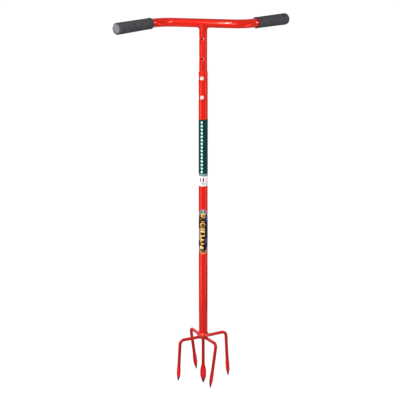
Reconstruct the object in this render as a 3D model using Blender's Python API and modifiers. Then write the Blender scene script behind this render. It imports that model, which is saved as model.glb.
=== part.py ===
"""Claw cultivator: a hand tool that is stood on and twisted to loosen soil.

Metres, +Z up. The origin is at the point of the centre tine, on the axis of the shaft.
+X runs along the middle of the handle bar, and the bolt heads face -Y.
"""

import math

import bmesh
import bpy
from mathutils import Matrix, Vector

# Shaft, from the claw's arms to its open top
CLAW_HEIGHT = 0.141
SHAFT_LENGTH = 0.7615
SHAFT_DIAMETER = 0.025
SHAFT_WALL = 0.0012
UPPER_BOLT_BELOW_TOP = 0.016

# Stem, which slides in the shaft and is bolted at one of its holes
STEM_CLEARANCE = 0.0003
STEM_WALL = 0.0015
HOLE_PITCH = 0.052
STEM_HOLE_COUNT = 4
STEM_BELOW_HOLES = 0.030
STEM_ABOVE_HOLES = 0.042

# Handle bar and grips
BAR_DIAMETER = 0.024
BAR_WALL = 0.0015
BAR_MIDDLE_HALF = 0.0795
BAR_BEND_RADIUS = 0.0625
BAR_BEND_ANGLE = math.radians(60.0)
BAR_DROOP = math.radians(0.8)
GRIP_AFTER_BEND = 0.0045
GRIP_LENGTH = 0.129
GRIP_INNER_DIAMETER = 0.0297
GRIP_OUTER_DIAMETER = 0.0317
GRIP_END_WALL = 0.005
GRIP_END_ROUNDING = 0.0065
GRIP_LIP_ROUNDING = 0.0012
GRIP_RIM_WIDTH = 0.005
GRIP_RIM_DEPTH = 0.0008
GRIP_MOUTH_FLARE = 0.0015
GRIP_MOUTH_DEPTH = 0.003

# Bolts, spring washers and nuts
BOLT_DIAMETER = 0.006
BOLT_LENGTH = 0.040
BOLT_HOLE_CLEARANCE = 0.0003
HEX_ACROSS_FLATS = 0.010
BOLT_HEAD_HEIGHT = 0.004
NUT_HEIGHT = 0.005
HEX_CHAMFER = 0.0006
HEX_CHAMFER_ANGLE = math.radians(30.0)
WASHER_DIAMETER = 0.0114
WASHER_THICKNESS = 0.0016
WASHER_SPLIT = 0.0008
WASHER_SPLIT_SLANT = math.radians(20.0)

# Tines
ROD_DIAMETER = 0.009
ARM_RADIUS = 0.0738
ARM_RISE = 0.001
ARM_BEND_RADIUS = 0.012
ARM_DIRECTION = math.radians(40.8)
SIDE_TINE_DROP = 0.129
SIDE_TINE_SWEEP = 0.0177
SIDE_TINE_TUCK = 0.0021
SIDE_BLADE_WIDTH = 0.0156
SIDE_BLADE_TURN = math.radians(16.0)
CENTRE_BLADE_WIDTH = 0.0172
BLADE_THICKNESS = 0.0046
BLADE_LENGTH = 0.062
BLADE_POINT_LENGTH = 0.021
BLADE_SHOULDER_LENGTH = 0.026
BLADE_POINT_WIDTH = 0.0012
BLADE_EDGE_BULGE = 0.8
BLADE_FACE_BULGE = 0.6
BLADE_LENS_POWER = 0.6
CENTRE_TINE_ABOVE_ARMS = 0.010

# Welds
WELD_EDGE = 0.0008
HANDLE_WELD_SIZE = 0.0035
HUB_WELD_DIAMETER = 0.0385
HUB_WELD_HEIGHT = 0.0135
HUB_WELD_ABOVE_ARMS = 0.0010
HUB_WELD_HOLLOW = 0.0010
HUB_WELD_SKIRT = 0.0040
HUB_WELD_SKIRT_WIDTH = 0.0022
CENTRE_WELD_SIZE = 0.0032

# Clearance between pieces that touch
GAP = 0.0003

# Facets
TUBE_STEPS = 32
BAR_SIDES = 24
BORE_SIDES = 16
HOLE_SIDES = 24
ROD_SIDES = 16
BEAD_SIDES = 12
HUB_WELD_STEPS = 48
BAR_BEND_STEPS = 10
ARM_BEND_STEPS = 6
ROUNDING_STEPS = 6
BLADE_STEPS = 5

# Sizes that follow from the ones above
SHAFT_RADIUS = SHAFT_DIAMETER / 2
SHAFT_BORE = SHAFT_RADIUS - SHAFT_WALL
STEM_RADIUS = SHAFT_BORE - STEM_CLEARANCE
BAR_RADIUS = BAR_DIAMETER / 2
ROD_RADIUS = ROD_DIAMETER / 2
BOLT_RADIUS = BOLT_DIAMETER / 2
BOLT_HOLE_RADIUS = BOLT_RADIUS + BOLT_HOLE_CLEARANCE
BOLT_SEAT = SHAFT_RADIUS + GAP
SHAFT_BOTTOM = CLAW_HEIGHT - ROD_RADIUS
SHAFT_TOP = SHAFT_BOTTOM + SHAFT_LENGTH
LOWER_BOLT_HEIGHT = SHAFT_TOP - UPPER_BOLT_BELOW_TOP - HOLE_PITCH
STEM_BOTTOM = LOWER_BOLT_HEIGHT - STEM_BELOW_HOLES
HANDLE_HEIGHT = LOWER_BOLT_HEIGHT + HOLE_PITCH * (STEM_HOLE_COUNT - 1) + STEM_ABOVE_HOLES
ARM_START = ROD_RADIUS + GAP
RED_PAINT = (0.72, 0.03, 0.02)

MODEL = bpy.data.collections.new("claw_cultivator")
CUTTERS = bpy.data.collections.new("cutters")


# Scene and materials


def clear_scene():
    """Remove what the file opened with, then link the two collections."""
    for item in list(bpy.data.objects):
        bpy.data.objects.remove(item, do_unlink=True)
    bpy.context.scene.collection.children.link(MODEL)
    bpy.context.scene.collection.children.link(CUTTERS)


def make_material(name, colour, roughness, metallic):
    """A plain Principled material of one colour."""
    material = bpy.data.materials.new(name)
    material.use_nodes = True
    shader = material.node_tree.nodes["Principled BSDF"]
    shader.inputs["Base Color"].default_value = (*colour, 1.0)
    shader.inputs["Roughness"].default_value = roughness
    shader.inputs["Metallic"].default_value = metallic
    material.diffuse_color = (*colour, 1.0)
    return material


def place(item, collection):
    """Move an object into one of the two collections, and hide a cutter."""
    for old in list(item.users_collection):
        old.objects.unlink(item)
    collection.objects.link(item)
    if collection is CUTTERS:
        item.hide_render = True
        item.display_type = "WIRE"
    return item


def finish_piece(item, colour=RED_PAINT, roughness=0.25, metallic=0.0, smooth=True):
    """Give a piece its material and shade its round faces smooth."""
    item.data.materials.clear()
    item.data.materials.append(make_material(item.name + "_finish", colour, roughness, metallic))
    if smooth and item.type == "MESH":
        item.data.shade_smooth()
        item.data.set_sharp_from_angle(angle=math.radians(35))
    return item


# Shapes


def mesh_object(name, bm, collection=MODEL):
    """Turn a bmesh into an object whose faces point outwards."""
    bmesh.ops.recalc_face_normals(bm, faces=bm.faces)
    mesh = bpy.data.meshes.new(name)
    bm.to_mesh(mesh)
    bm.free()
    item = bpy.data.objects.new(name, mesh)
    collection.objects.link(item)
    return item


def turned(name, profile, steps=TUBE_STEPS, collection=MODEL, closed=True):
    """Spin a profile of (radius, height) points round Z with a Screw modifier.

    It starts half a facet round from +X, so that a cutter along X or Y meets the middle of a facet.
    """
    mesh = bpy.data.meshes.new(name)
    count = len(profile)
    edges = [(i, i + 1) for i in range(count - 1)]
    if closed:
        edges.append((count - 1, 0))
    across, aside = math.cos(math.pi / steps), math.sin(math.pi / steps)
    points = [(radius * across, radius * aside, height) for radius, height in profile]
    mesh.from_pydata(points, edges, [])
    item = bpy.data.objects.new(name, mesh)
    collection.objects.link(item)
    screw = item.modifiers.new("turn", "SCREW")
    screw.axis = "Z"
    screw.steps = steps
    screw.render_steps = steps
    screw.use_merge_vertices = True
    screw.merge_threshold = 0.00001
    screw.use_smooth_shade = True
    if collection is CUTTERS:
        place(item, CUTTERS)
    return item


def tube_from_path(name, points, radius, sides, collection=MODEL, cyclic=False):
    """A round bar along a path, made as a curve and then turned into a mesh."""
    curve = bpy.data.curves.new(name, "CURVE")
    curve.dimensions = "3D"
    curve.bevel_depth = radius
    curve.bevel_resolution = (sides - 4) // 2
    curve.use_fill_caps = not cyclic
    spline = curve.splines.new("POLY")
    spline.points.add(len(points) - 1)
    for point, place_on_path in zip(spline.points, points):
        point.co = (*place_on_path, 1.0)
    spline.use_cyclic_u = cyclic
    guide = bpy.data.objects.new(name + "_path", curve)
    collection.objects.link(guide)
    bpy.context.view_layer.update()
    graph = bpy.context.evaluated_depsgraph_get()
    mesh = bpy.data.meshes.new_from_object(guide.evaluated_get(graph))
    mesh.transform(guide.matrix_world)
    bpy.data.objects.remove(guide, do_unlink=True)
    bm = bmesh.new()
    bm.from_mesh(mesh)
    bpy.data.meshes.remove(mesh)
    bmesh.ops.remove_doubles(bm, verts=bm.verts, dist=0.00001)
    item = mesh_object(name, bm, collection)
    if collection is CUTTERS:
        place(item, CUTTERS)
    return item


def cylinder(name, radius, start, end, steps=TUBE_STEPS, collection=CUTTERS):
    """A straight cylinder between two points."""
    start, end = Vector(start), Vector(end)
    bm = bmesh.new()
    turn = (end - start).to_track_quat("Z", "Y").to_matrix().to_4x4()
    bmesh.ops.create_cone(
        bm,
        cap_ends=True,
        segments=steps,
        radius1=radius,
        radius2=radius,
        depth=(end - start).length,
        matrix=Matrix.Translation((start + end) / 2) @ turn,
    )
    return place(mesh_object(name, bm, collection), collection)


def boolean(item, cutter, operation="DIFFERENCE"):
    """Cut or join one object by another, and keep the modifier live."""
    modifier = item.modifiers.new(cutter.name, "BOOLEAN")
    modifier.operation = operation
    modifier.solver = "EXACT"
    modifier.object = cutter


def loft(name, rings, collection=MODEL):
    """Join rings of points, each with the same count, and close both ends."""
    bm = bmesh.new()
    loops = [[bm.verts.new(point) for point in ring] for ring in rings]
    for lower, upper in zip(loops, loops[1:]):
        for i, corner in enumerate(lower):
            j = (i + 1) % len(lower)
            bm.faces.new((corner, lower[j], upper[j], upper[i]))
    bm.faces.new(loops[0])
    bm.faces.new(loops[-1])
    return mesh_object(name, bm, collection)


def arc(centre, start, axis, angle, steps):
    """Points on an arc, from a start point turned round an axis through a centre."""
    arm = Vector(start) - Vector(centre)
    return [Vector(centre) + Matrix.Rotation(angle * i / steps, 3, axis) @ arm for i in range(steps + 1)]


# Handle bar, stem and their weld


def grip_direction():
    """Turns +Z to the line of the right grip: round with the bend, and down by the droop."""
    return Matrix.Rotation(BAR_BEND_ANGLE, 3, "Z") @ Matrix.Rotation(math.pi / 2 + BAR_DROOP, 3, "Y")


def bar_half_path(straight_end):
    """Half of the bar's centre line, from the middle out to +X, with its middle at z = 0."""
    middle_end = Vector((BAR_MIDDLE_HALF, 0.0, 0.0))
    centre = middle_end + Vector((0.0, BAR_BEND_RADIUS, 0.0))
    bend = arc(centre, middle_end, "Z", BAR_BEND_ANGLE, BAR_BEND_STEPS)
    along = grip_direction() @ Vector((0.0, 0.0, 1.0))
    return [*bend, bend[-1] + along * straight_end]


def bar_path(straight_end):
    """The whole S: the half path and the same half turned half a circle round Z."""
    right = bar_half_path(straight_end)
    left = [Vector((-point.x, -point.y, point.z)) for point in reversed(right)]
    lift = Vector((0.0, 0.0, HANDLE_HEIGHT))
    return [point + lift for point in [*left, *right]]


def make_handle_bar():
    """The bent tube, hollow from end to end."""
    straight = GRIP_AFTER_BEND + GRIP_LENGTH - GRIP_END_WALL - GAP
    past_end = straight + GRIP_END_WALL
    bar = tube_from_path("handle_bar", bar_path(straight), BAR_RADIUS, BAR_SIDES)
    bore = tube_from_path("bar_bore", bar_path(past_end), BAR_RADIUS - BAR_WALL, BORE_SIDES, CUTTERS)
    boolean(bar, bore)
    return finish_piece(bar)


def bar_envelope():
    """The bar's middle with the clearance round it, for cutting what meets it."""
    reach = SHAFT_DIAMETER
    ends = [Vector((-reach, 0.0, HANDLE_HEIGHT)), Vector((reach, 0.0, HANDLE_HEIGHT))]
    return tube_from_path("bar_envelope", ends, BAR_RADIUS + GAP, BAR_SIDES, CUTTERS)


def stem_hole_heights():
    """Heights of the stem's cross holes, the lowest at the lower bolt."""
    return [LOWER_BOLT_HEIGHT + HOLE_PITCH * i for i in range(STEM_HOLE_COUNT)]


def cross_hole(name, height):
    """A cutter through both walls along Y."""
    reach = SHAFT_DIAMETER
    return cylinder(name, BOLT_HOLE_RADIUS, (0.0, -reach, height), (0.0, reach, height), HOLE_SIDES)


def make_stem(envelope):
    """The inner tube, coped at its top to the underside of the bar."""
    outer, inner = STEM_RADIUS, STEM_RADIUS - STEM_WALL
    stem = turned(
        "stem_tube",
        [(outer, HANDLE_HEIGHT), (outer, STEM_BOTTOM), (inner, STEM_BOTTOM), (inner, HANDLE_HEIGHT)],
    )
    boolean(stem, envelope)
    for i, height in enumerate(stem_hole_heights()):
        boolean(stem, cross_hole(f"stem_hole_{i}", height))
    return finish_piece(stem)


def make_handle_weld(envelope):
    """A bead along the saddle line where the stem's wall meets the bar."""
    radius = STEM_RADIUS + GAP
    saddle = []
    for i in range(TUBE_STEPS):
        turn = math.tau * i / TUBE_STEPS
        x, y = radius * math.cos(turn), radius * math.sin(turn)
        drop = math.sqrt((BAR_RADIUS + GAP) ** 2 - y**2)
        saddle.append(Vector((x, y, HANDLE_HEIGHT - drop)))
    bead = tube_from_path("handle_weld", saddle, HANDLE_WELD_SIZE, BEAD_SIDES, cyclic=True)
    boolean(bead, envelope)
    core = cylinder(
        "stem_envelope",
        radius,
        (0.0, 0.0, HANDLE_HEIGHT - BAR_RADIUS - BAR_DIAMETER),
        (0.0, 0.0, HANDLE_HEIGHT + BAR_RADIUS),
    )
    boolean(bead, core)
    return finish_piece(bead, roughness=0.35)


# Grips


def grip_profile():
    """Closed outline of a grip: flared bore, rounded lip with its rim, taper and rounded end."""
    bore = BAR_RADIUS + GAP
    inner, outer = GRIP_INNER_DIAMETER / 2, GRIP_OUTER_DIAMETER / 2
    lip, end = GRIP_LIP_ROUNDING, GRIP_END_ROUNDING
    rim_end = GRIP_RIM_WIDTH
    points = [(0.0, GRIP_LENGTH)]
    for i in range(ROUNDING_STEPS + 1):
        turn = math.pi / 2 * (1 - i / ROUNDING_STEPS)
        points.append((outer - end + end * math.cos(turn), GRIP_LENGTH - end + end * math.sin(turn)))
    points.append((inner, rim_end + GRIP_RIM_DEPTH))
    points.append((inner + GRIP_RIM_DEPTH, rim_end))
    lip_steps = ROUNDING_STEPS // 2
    for i in range(lip_steps + 1):
        turn = -math.pi / 2 * i / lip_steps
        points.append((inner + GRIP_RIM_DEPTH - lip + lip * math.cos(turn), lip + lip * math.sin(turn)))
    points += [(bore + GRIP_MOUTH_FLARE, 0.0), (bore, GRIP_MOUTH_DEPTH)]
    points += [(bore, GRIP_LENGTH - GRIP_END_WALL), (0.0, GRIP_LENGTH - GRIP_END_WALL)]
    return points


def make_grip(name, half_turn):
    """A grip on one end of the bar, with its open end towards the bend."""
    grip = turned(name, grip_profile(), closed=False)
    start = bar_half_path(GRIP_AFTER_BEND)[-1]
    side = Matrix.Rotation(half_turn, 4, "Z")
    lift = Matrix.Translation((0.0, 0.0, HANDLE_HEIGHT))
    grip.matrix_world = lift @ side @ Matrix.Translation(start) @ grip_direction().to_4x4()
    return finish_piece(grip, (0.07, 0.065, 0.07), 0.7)


# Shaft


def make_shaft(hub_cutters):
    """The outer tube, with holes for the bolts and notches over the arms."""
    shaft = turned(
        "shaft_tube",
        [
            (SHAFT_RADIUS, SHAFT_TOP),
            (SHAFT_RADIUS, SHAFT_BOTTOM),
            (SHAFT_BORE, SHAFT_BOTTOM),
            (SHAFT_BORE, SHAFT_TOP),
        ],
    )
    for i in range(2):
        boolean(shaft, cross_hole(f"shaft_hole_{i}", LOWER_BOLT_HEIGHT + HOLE_PITCH * i))
    for cutter in hub_cutters:
        boolean(shaft, cutter)
    return finish_piece(shaft)


# Bolts, spring washers and nuts


def hexagon(name, height, bore=0.0):
    """A hexagonal prism on z = 0 with chamfered corners, and a bore for a nut."""
    corner = HEX_ACROSS_FLATS / 2 / math.cos(math.radians(30))
    bm = bmesh.new()
    bmesh.ops.create_cone(
        bm,
        cap_ends=True,
        segments=6,
        radius1=corner,
        radius2=corner,
        depth=height,
        matrix=Matrix.Translation((0.0, 0.0, height / 2)) @ Matrix.Rotation(math.radians(30), 4, "Z"),
    )
    prism = mesh_object(name, bm)
    run = HEX_CHAMFER / math.tan(HEX_CHAMFER_ANGLE)
    round_off = turned(
        name + "_chamfer",
        [
            (0.0, height),
            (corner - run, height),
            (corner + run, height - 2 * HEX_CHAMFER),
            (corner + run, -GAP),
            (0.0, -GAP),
        ],
        HOLE_SIDES,
        CUTTERS,
        closed=False,
    )
    boolean(prism, round_off, "INTERSECT")
    if bore:
        hole = cylinder(name + "_bore", bore, (0.0, 0.0, -height), (0.0, 0.0, 2 * height), HOLE_SIDES)
        boolean(prism, hole)
        return prism, [round_off, hole]
    return prism, [round_off]


def bolt_frame(height, outward):
    """Places a piece built along +Z so that +Z points out along +Y or -Y."""
    turn = Matrix.Rotation(math.radians(90 if outward < 0 else -90), 4, "X")
    return Matrix.Translation((0.0, 0.0, height)) @ turn


def make_bolt(name, height):
    """A hex bolt whose head is at the front and whose shank points to +Y."""
    bolt, helpers = hexagon(name, BOLT_HEAD_HEIGHT)
    root, end = (0.0, 0.0, BOLT_HEAD_HEIGHT / 2), (0.0, 0.0, -BOLT_LENGTH)
    shank = cylinder(name + "_shank", BOLT_RADIUS, root, end, HOLE_SIDES)
    boolean(bolt, shank, "UNION")
    frame = bolt_frame(height, -1) @ Matrix.Translation((0.0, 0.0, BOLT_SEAT))
    for item in [bolt, shank, *helpers]:
        item.matrix_world = frame
    return finish_piece(bolt, (0.75, 0.75, 0.76), 0.3, 1.0)


def make_washer(name, height):
    """A spring washer: a flat ring with a narrow split."""
    inner, outer = BOLT_HOLE_RADIUS, WASHER_DIAMETER / 2
    ring = turned(
        name,
        [(outer, WASHER_THICKNESS), (outer, 0.0), (inner, 0.0), (inner, WASHER_THICKNESS)],
        HOLE_SIDES,
    )
    bm = bmesh.new()
    middle = Matrix.Translation(((inner + outer) / 2, 0.0, WASHER_THICKNESS / 2))
    slant = Matrix.Rotation(WASHER_SPLIT_SLANT, 4, "X")
    size = Matrix.Diagonal((2 * (outer - inner), WASHER_SPLIT, 4 * WASHER_THICKNESS, 1.0))
    bmesh.ops.create_cube(bm, size=1.0, matrix=middle @ slant @ size)
    split = place(mesh_object(name + "_split", bm, CUTTERS), CUTTERS)
    boolean(ring, split)
    frame = bolt_frame(height, 1) @ Matrix.Translation((0.0, 0.0, BOLT_SEAT))
    for item in (ring, split):
        item.matrix_world = frame
    return finish_piece(ring, (0.6, 0.6, 0.6), 0.4, 1.0)


def make_nut(name, height):
    """A hex nut on the bolt's end, behind the spring washer."""
    nut, helpers = hexagon(name, NUT_HEIGHT, BOLT_HOLE_RADIUS)
    seat = BOLT_SEAT + WASHER_THICKNESS + GAP
    frame = bolt_frame(height, 1) @ Matrix.Translation((0.0, 0.0, seat))
    for item in [nut, *helpers]:
        item.matrix_world = frame
    return finish_piece(nut, (0.75, 0.75, 0.76), 0.3, 1.0)


# Tines


def ease(value):
    """A smooth step from 0 to 1."""
    value = min(max(value, 0.0), 1.0)
    return value * value * (3.0 - 2.0 * value)


def blade_section(from_tip, blade_width):
    """Half width, half thickness and how flat the section is, at a distance above the tip."""
    spread = 1.0 - ease((from_tip - (BLADE_LENGTH - BLADE_SHOULDER_LENGTH)) / BLADE_SHOULDER_LENGTH)
    width = ROD_RADIUS + (blade_width / 2 - ROD_RADIUS) * spread
    thickness = ROD_RADIUS + (BLADE_THICKNESS / 2 - ROD_RADIUS) * spread
    if from_tip < BLADE_POINT_LENGTH:
        share = from_tip / BLADE_POINT_LENGTH
        point = BLADE_POINT_WIDTH / 2
        width = point + (width - point) * share**BLADE_EDGE_BULGE
        thickness = point + (thickness - point) * share**BLADE_FACE_BULGE
    return width, thickness, spread


def section_ring(centre, across, through, width, thickness, spread):
    """A ring that is round for the rod and lens shaped for the blade."""
    ring = []
    for i in range(ROD_SIDES):
        turn = math.tau * i / ROD_SIDES
        flat = math.cos(turn)
        rise = math.sin(turn)
        lens = rise * abs(rise) ** BLADE_LENS_POWER
        depth = rise + (lens - rise) * spread
        ring.append(centre + across * (width * flat) + through * (thickness * depth))
    return ring


def blade_heights():
    """Distances above the tip where the blade gets a section, tip first."""
    shares = [i / BLADE_STEPS for i in range(BLADE_STEPS + 1)]
    shoulder_start = BLADE_LENGTH - BLADE_SHOULDER_LENGTH
    point = [BLADE_POINT_LENGTH * share * (1 + share) / 2 for share in shares]
    shoulder = [shoulder_start + BLADE_SHOULDER_LENGTH * share for share in shares]
    return point + shoulder


def side_tine_rings():
    """Sections of a side tine whose arm runs along +X from the axis."""
    inner = Vector((ARM_START, 0.0, CLAW_HEIGHT))
    corner = Vector((ARM_RADIUS, 0.0, CLAW_HEIGHT + ARM_RISE))
    tip = corner + Vector((-SIDE_TINE_TUCK, -SIDE_TINE_SWEEP, -SIDE_TINE_DROP))
    arm = (corner - Vector((0.0, 0.0, CLAW_HEIGHT))).normalized()
    down = (tip - corner).normalized()
    across = Vector((-math.sin(SIDE_BLADE_TURN), math.cos(SIDE_BLADE_TURN), 0.0))
    angle = arm.angle(down)
    setback = ARM_BEND_RADIUS * math.tan(angle / 2)
    axis = arm.cross(down).normalized()
    inward = axis.cross(arm).normalized()
    bend_start = corner - arm * setback
    rings = []
    centre = bend_start + inward * ARM_BEND_RADIUS
    for i in range(-1, ARM_BEND_STEPS + 1):
        turn = Matrix.Rotation(angle * max(i, 0) / ARM_BEND_STEPS, 3, axis)
        middle = inner if i < 0 else centre + turn @ (bend_start - centre)
        ahead = turn @ arm
        side = (across - ahead * across.dot(ahead)).normalized()
        rings.append(section_ring(middle, side, ahead.cross(side), ROD_RADIUS, ROD_RADIUS, 0.0))
    side = (across - down * across.dot(down)).normalized()
    through = down.cross(side)
    for from_tip in reversed(blade_heights()):
        width, thickness, spread = blade_section(from_tip, SIDE_BLADE_WIDTH)
        rings.append(section_ring(tip - down * from_tip, side, through, width, thickness, spread))
    return rings


def make_side_tine(name, quarter):
    """One of the four side tines, turned round the axis by quarters of a circle."""
    tine = loft(name, side_tine_rings())
    tine.matrix_world = Matrix.Rotation(ARM_DIRECTION + quarter * math.pi / 2, 4, "Z")
    return finish_piece(tine)


def make_centre_tine():
    """The straight tine, with its broad face towards the front."""
    across, through = Vector((1.0, 0.0, 0.0)), Vector((0.0, -1.0, 0.0))
    top = CLAW_HEIGHT + CENTRE_TINE_ABOVE_ARMS
    rings = [section_ring(Vector((0.0, 0.0, top)), across, through, ROD_RADIUS, ROD_RADIUS, 0.0)]
    for from_tip in reversed(blade_heights()):
        width, thickness, spread = blade_section(from_tip, CENTRE_BLADE_WIDTH)
        rings.append(section_ring(Vector((0.0, 0.0, from_tip)), across, through, width, thickness, spread))
    return finish_piece(loft("centre_tine", rings))


# Welds of the claw


def arm_envelopes():
    """The four arms with the clearance round them, for cutting the shaft and the welds."""
    envelopes = []
    start = (0.0, 0.0, CLAW_HEIGHT)
    reach = HUB_WELD_DIAMETER
    rise = ARM_RISE / ARM_RADIUS * reach
    for quarter in range(4):
        turn = ARM_DIRECTION + quarter * math.pi / 2
        end = (reach * math.cos(turn), reach * math.sin(turn), CLAW_HEIGHT + rise)
        envelopes.append(cylinder(f"arm_envelope_{quarter}", ROD_RADIUS + GAP, start, end, HOLE_SIDES))
    return envelopes


def make_hub_weld(envelopes):
    """The fillet round the shaft's end, resting on the arms and filling between them."""
    inner = SHAFT_RADIUS + GAP
    toe = inner + WELD_EDGE
    outer = HUB_WELD_DIAMETER / 2
    top = CLAW_HEIGHT + HUB_WELD_HEIGHT
    edge = CLAW_HEIGHT + ROD_RADIUS + HUB_WELD_ABOVE_ARMS
    skirt = CLAW_HEIGHT + ROD_RADIUS - HUB_WELD_SKIRT
    profile = [(inner, top + WELD_EDGE)]
    for i in range(ROUNDING_STEPS + 1):
        share = i / ROUNDING_STEPS
        sunk = HUB_WELD_HOLLOW * math.sin(math.pi * share)
        profile.append((toe + (outer - toe) * share, top + (edge - top) * share - sunk))
    profile.append((outer - WELD_EDGE, edge - 2 * WELD_EDGE))
    profile += [(inner + HUB_WELD_SKIRT_WIDTH, skirt), (inner, skirt)]
    weld = turned("hub_weld", profile, HUB_WELD_STEPS)
    for cutter in envelopes:
        boolean(weld, cutter)
    return finish_piece(weld, roughness=0.35)


def make_centre_weld():
    """The bead under the arms, round the centre tine."""
    inner = ROD_RADIUS + GAP
    top = CLAW_HEIGHT - ROD_RADIUS - GAP
    profile = []
    for i in range(ROUNDING_STEPS + 1):
        turn = math.pi / 2 * i / ROUNDING_STEPS
        profile.append((inner + CENTRE_WELD_SIZE * math.cos(turn), top - CENTRE_WELD_SIZE * math.sin(turn)))
    profile.append((inner, top))
    return finish_piece(turned("centre_weld", profile, HOLE_SIDES), roughness=0.35)


# The whole tool


def build():
    """Make every piece, from the handle down to the claw."""
    clear_scene()
    envelope = bar_envelope()
    arms = arm_envelopes()
    make_handle_bar()
    make_stem(envelope)
    make_handle_weld(envelope)
    make_grip("right_grip", 0.0)
    make_grip("left_grip", math.pi)
    make_shaft(arms)
    for name, height in (("lower", LOWER_BOLT_HEIGHT), ("upper", LOWER_BOLT_HEIGHT + HOLE_PITCH)):
        make_bolt(name + "_bolt", height)
        make_washer(name + "_washer", height)
        make_nut(name + "_nut", height)
    for quarter, name in enumerate(("right_tine", "back_tine", "left_tine", "front_tine")):
        make_side_tine(name, quarter)
    make_centre_tine()
    make_hub_weld(arms)
    make_centre_weld()


build()
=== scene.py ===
"""A claw cultivator as it looks new from the shop: glossy red coat, soft grips, zinc bolts.

Metres, +Z up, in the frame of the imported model: the centre tine's point is the origin,
+X runs along the middle of the handle bar, and the bolt heads face -Y.
"""

import math

import bmesh
import bpy
import numpy as np
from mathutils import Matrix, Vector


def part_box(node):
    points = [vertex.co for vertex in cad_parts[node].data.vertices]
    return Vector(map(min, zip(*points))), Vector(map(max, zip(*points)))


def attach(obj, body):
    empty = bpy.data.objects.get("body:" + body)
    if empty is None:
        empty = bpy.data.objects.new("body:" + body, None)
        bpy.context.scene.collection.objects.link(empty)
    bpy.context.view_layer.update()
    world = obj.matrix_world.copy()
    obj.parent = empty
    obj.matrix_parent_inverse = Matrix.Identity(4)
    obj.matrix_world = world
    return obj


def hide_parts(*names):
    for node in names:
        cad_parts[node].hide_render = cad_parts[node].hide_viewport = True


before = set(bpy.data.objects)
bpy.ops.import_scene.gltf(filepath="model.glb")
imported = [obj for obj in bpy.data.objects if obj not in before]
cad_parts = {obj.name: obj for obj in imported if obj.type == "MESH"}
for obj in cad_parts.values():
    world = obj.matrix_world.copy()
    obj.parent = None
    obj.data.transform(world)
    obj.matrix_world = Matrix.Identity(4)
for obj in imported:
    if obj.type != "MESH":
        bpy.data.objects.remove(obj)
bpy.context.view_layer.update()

# Camera
# A long lens on a tripod a little over the handle's height, 3.5 m away and slightly to the right.
# It looks down by fifteen degrees, and the lens is shifted so that the shaft, which it faces,
# stands a hair right of the picture's middle.

SENSOR_WIDTH = 36.0
PICTURE_WIDTH = 400
FOCAL_PIXELS = 1317.3
SHAFT_RIGHT_OF_MIDDLE = 3.2
CAMERA_DISTANCE = 3.5
CAMERA_HEIGHT = 1.4925
CAMERA_TURN = math.radians(11.66)
CAMERA_PITCH = math.radians(15.21)
NEAR_CLIP = 0.05


def add_object(name, data):
    """A new object of the scene, at the origin."""
    thing = bpy.data.objects.new(name, data)
    bpy.context.scene.collection.objects.link(thing)
    return thing


def beside_shaft(bearing, distance, height):
    """A place at a distance from the shaft: d sin b to the right and d cos b towards the viewer."""
    return (distance * math.sin(bearing), -distance * math.cos(bearing), height)


lens = bpy.data.cameras.new("camera")
lens.sensor_width = SENSOR_WIDTH
lens.lens = FOCAL_PIXELS / PICTURE_WIDTH * SENSOR_WIDTH
lens.shift_x = -SHAFT_RIGHT_OF_MIDDLE / PICTURE_WIDTH
lens.clip_start = NEAR_CLIP
camera = add_object("camera", lens)
camera.location = beside_shaft(CAMERA_TURN, CAMERA_DISTANCE, CAMERA_HEIGHT)
camera.rotation_euler = (math.pi / 2 - CAMERA_PITCH, 0.0, CAMERA_TURN)
bpy.context.scene.camera = camera


# Shaft
# A 25 mm steel tube, powder coated red, with a cross hole through both walls for each bolt. The
# paint rounds its edges, and its lower end, notched over the claw's arms, is hidden in the weld.

WELDED_EDGE = 2e-6
SHARP_ANGLE = 35.0


def make_piece(name, sheets, material, stands_for="", body="tool", slot="red_paint", **looks):
    """One closed mesh from grids of points, riding on a body.

    Each sheet is an array of rows by columns by x, y, z. Every four neighbours of a grid make a
    face, points that coincide are joined, and all faces are turned outwards. Looks may hold crease,
    the angle in degrees that shows as sharp, and one number for each point of painted light and
    shade, high for painted highlight and low for painted shade, kept as a point attribute.
    """
    points, faces, first = [], [], 0
    for sheet in sheets:
        rows, columns = sheet.shape[:2]
        index = first + np.arange(rows * columns).reshape(rows, columns)
        corners = [index[:-1, :-1], index[:-1, 1:], index[1:, 1:], index[1:, :-1]]
        faces.append(np.stack(corners, -1).reshape(-1, 4))
        points.append(sheet.reshape(-1, 3))
        first += rows * columns
    mesh = bpy.data.meshes.new(name)
    mesh.from_pydata(np.concatenate(points), [], np.concatenate(faces))
    # Painted light and shade, one value for each point, kept as a float attribute on the points.
    if "painted_lights" in looks:
        thickness = np.concatenate([painted_light.ravel() for painted_light in looks["painted_lights"]])
        mesh.attributes.new("painted_light", "FLOAT", "POINT").data.foreach_set("value", thickness)
    bm = bmesh.new()
    bm.from_mesh(mesh)
    bmesh.ops.remove_doubles(bm, verts=bm.verts, dist=WELDED_EDGE)
    bmesh.ops.dissolve_degenerate(bm, edges=bm.edges, dist=WELDED_EDGE)
    bmesh.ops.recalc_face_normals(bm, faces=bm.faces)
    bm.to_mesh(mesh)
    bm.free()
    mesh.shade_smooth()
    mesh.set_sharp_from_angle(angle=math.radians(looks.get("crease", SHARP_ANGLE)))
    mesh.materials.append(material)
    piece = add_object(name, mesh)
    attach(piece, body)
    if stands_for:
        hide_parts(stands_for)


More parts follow.
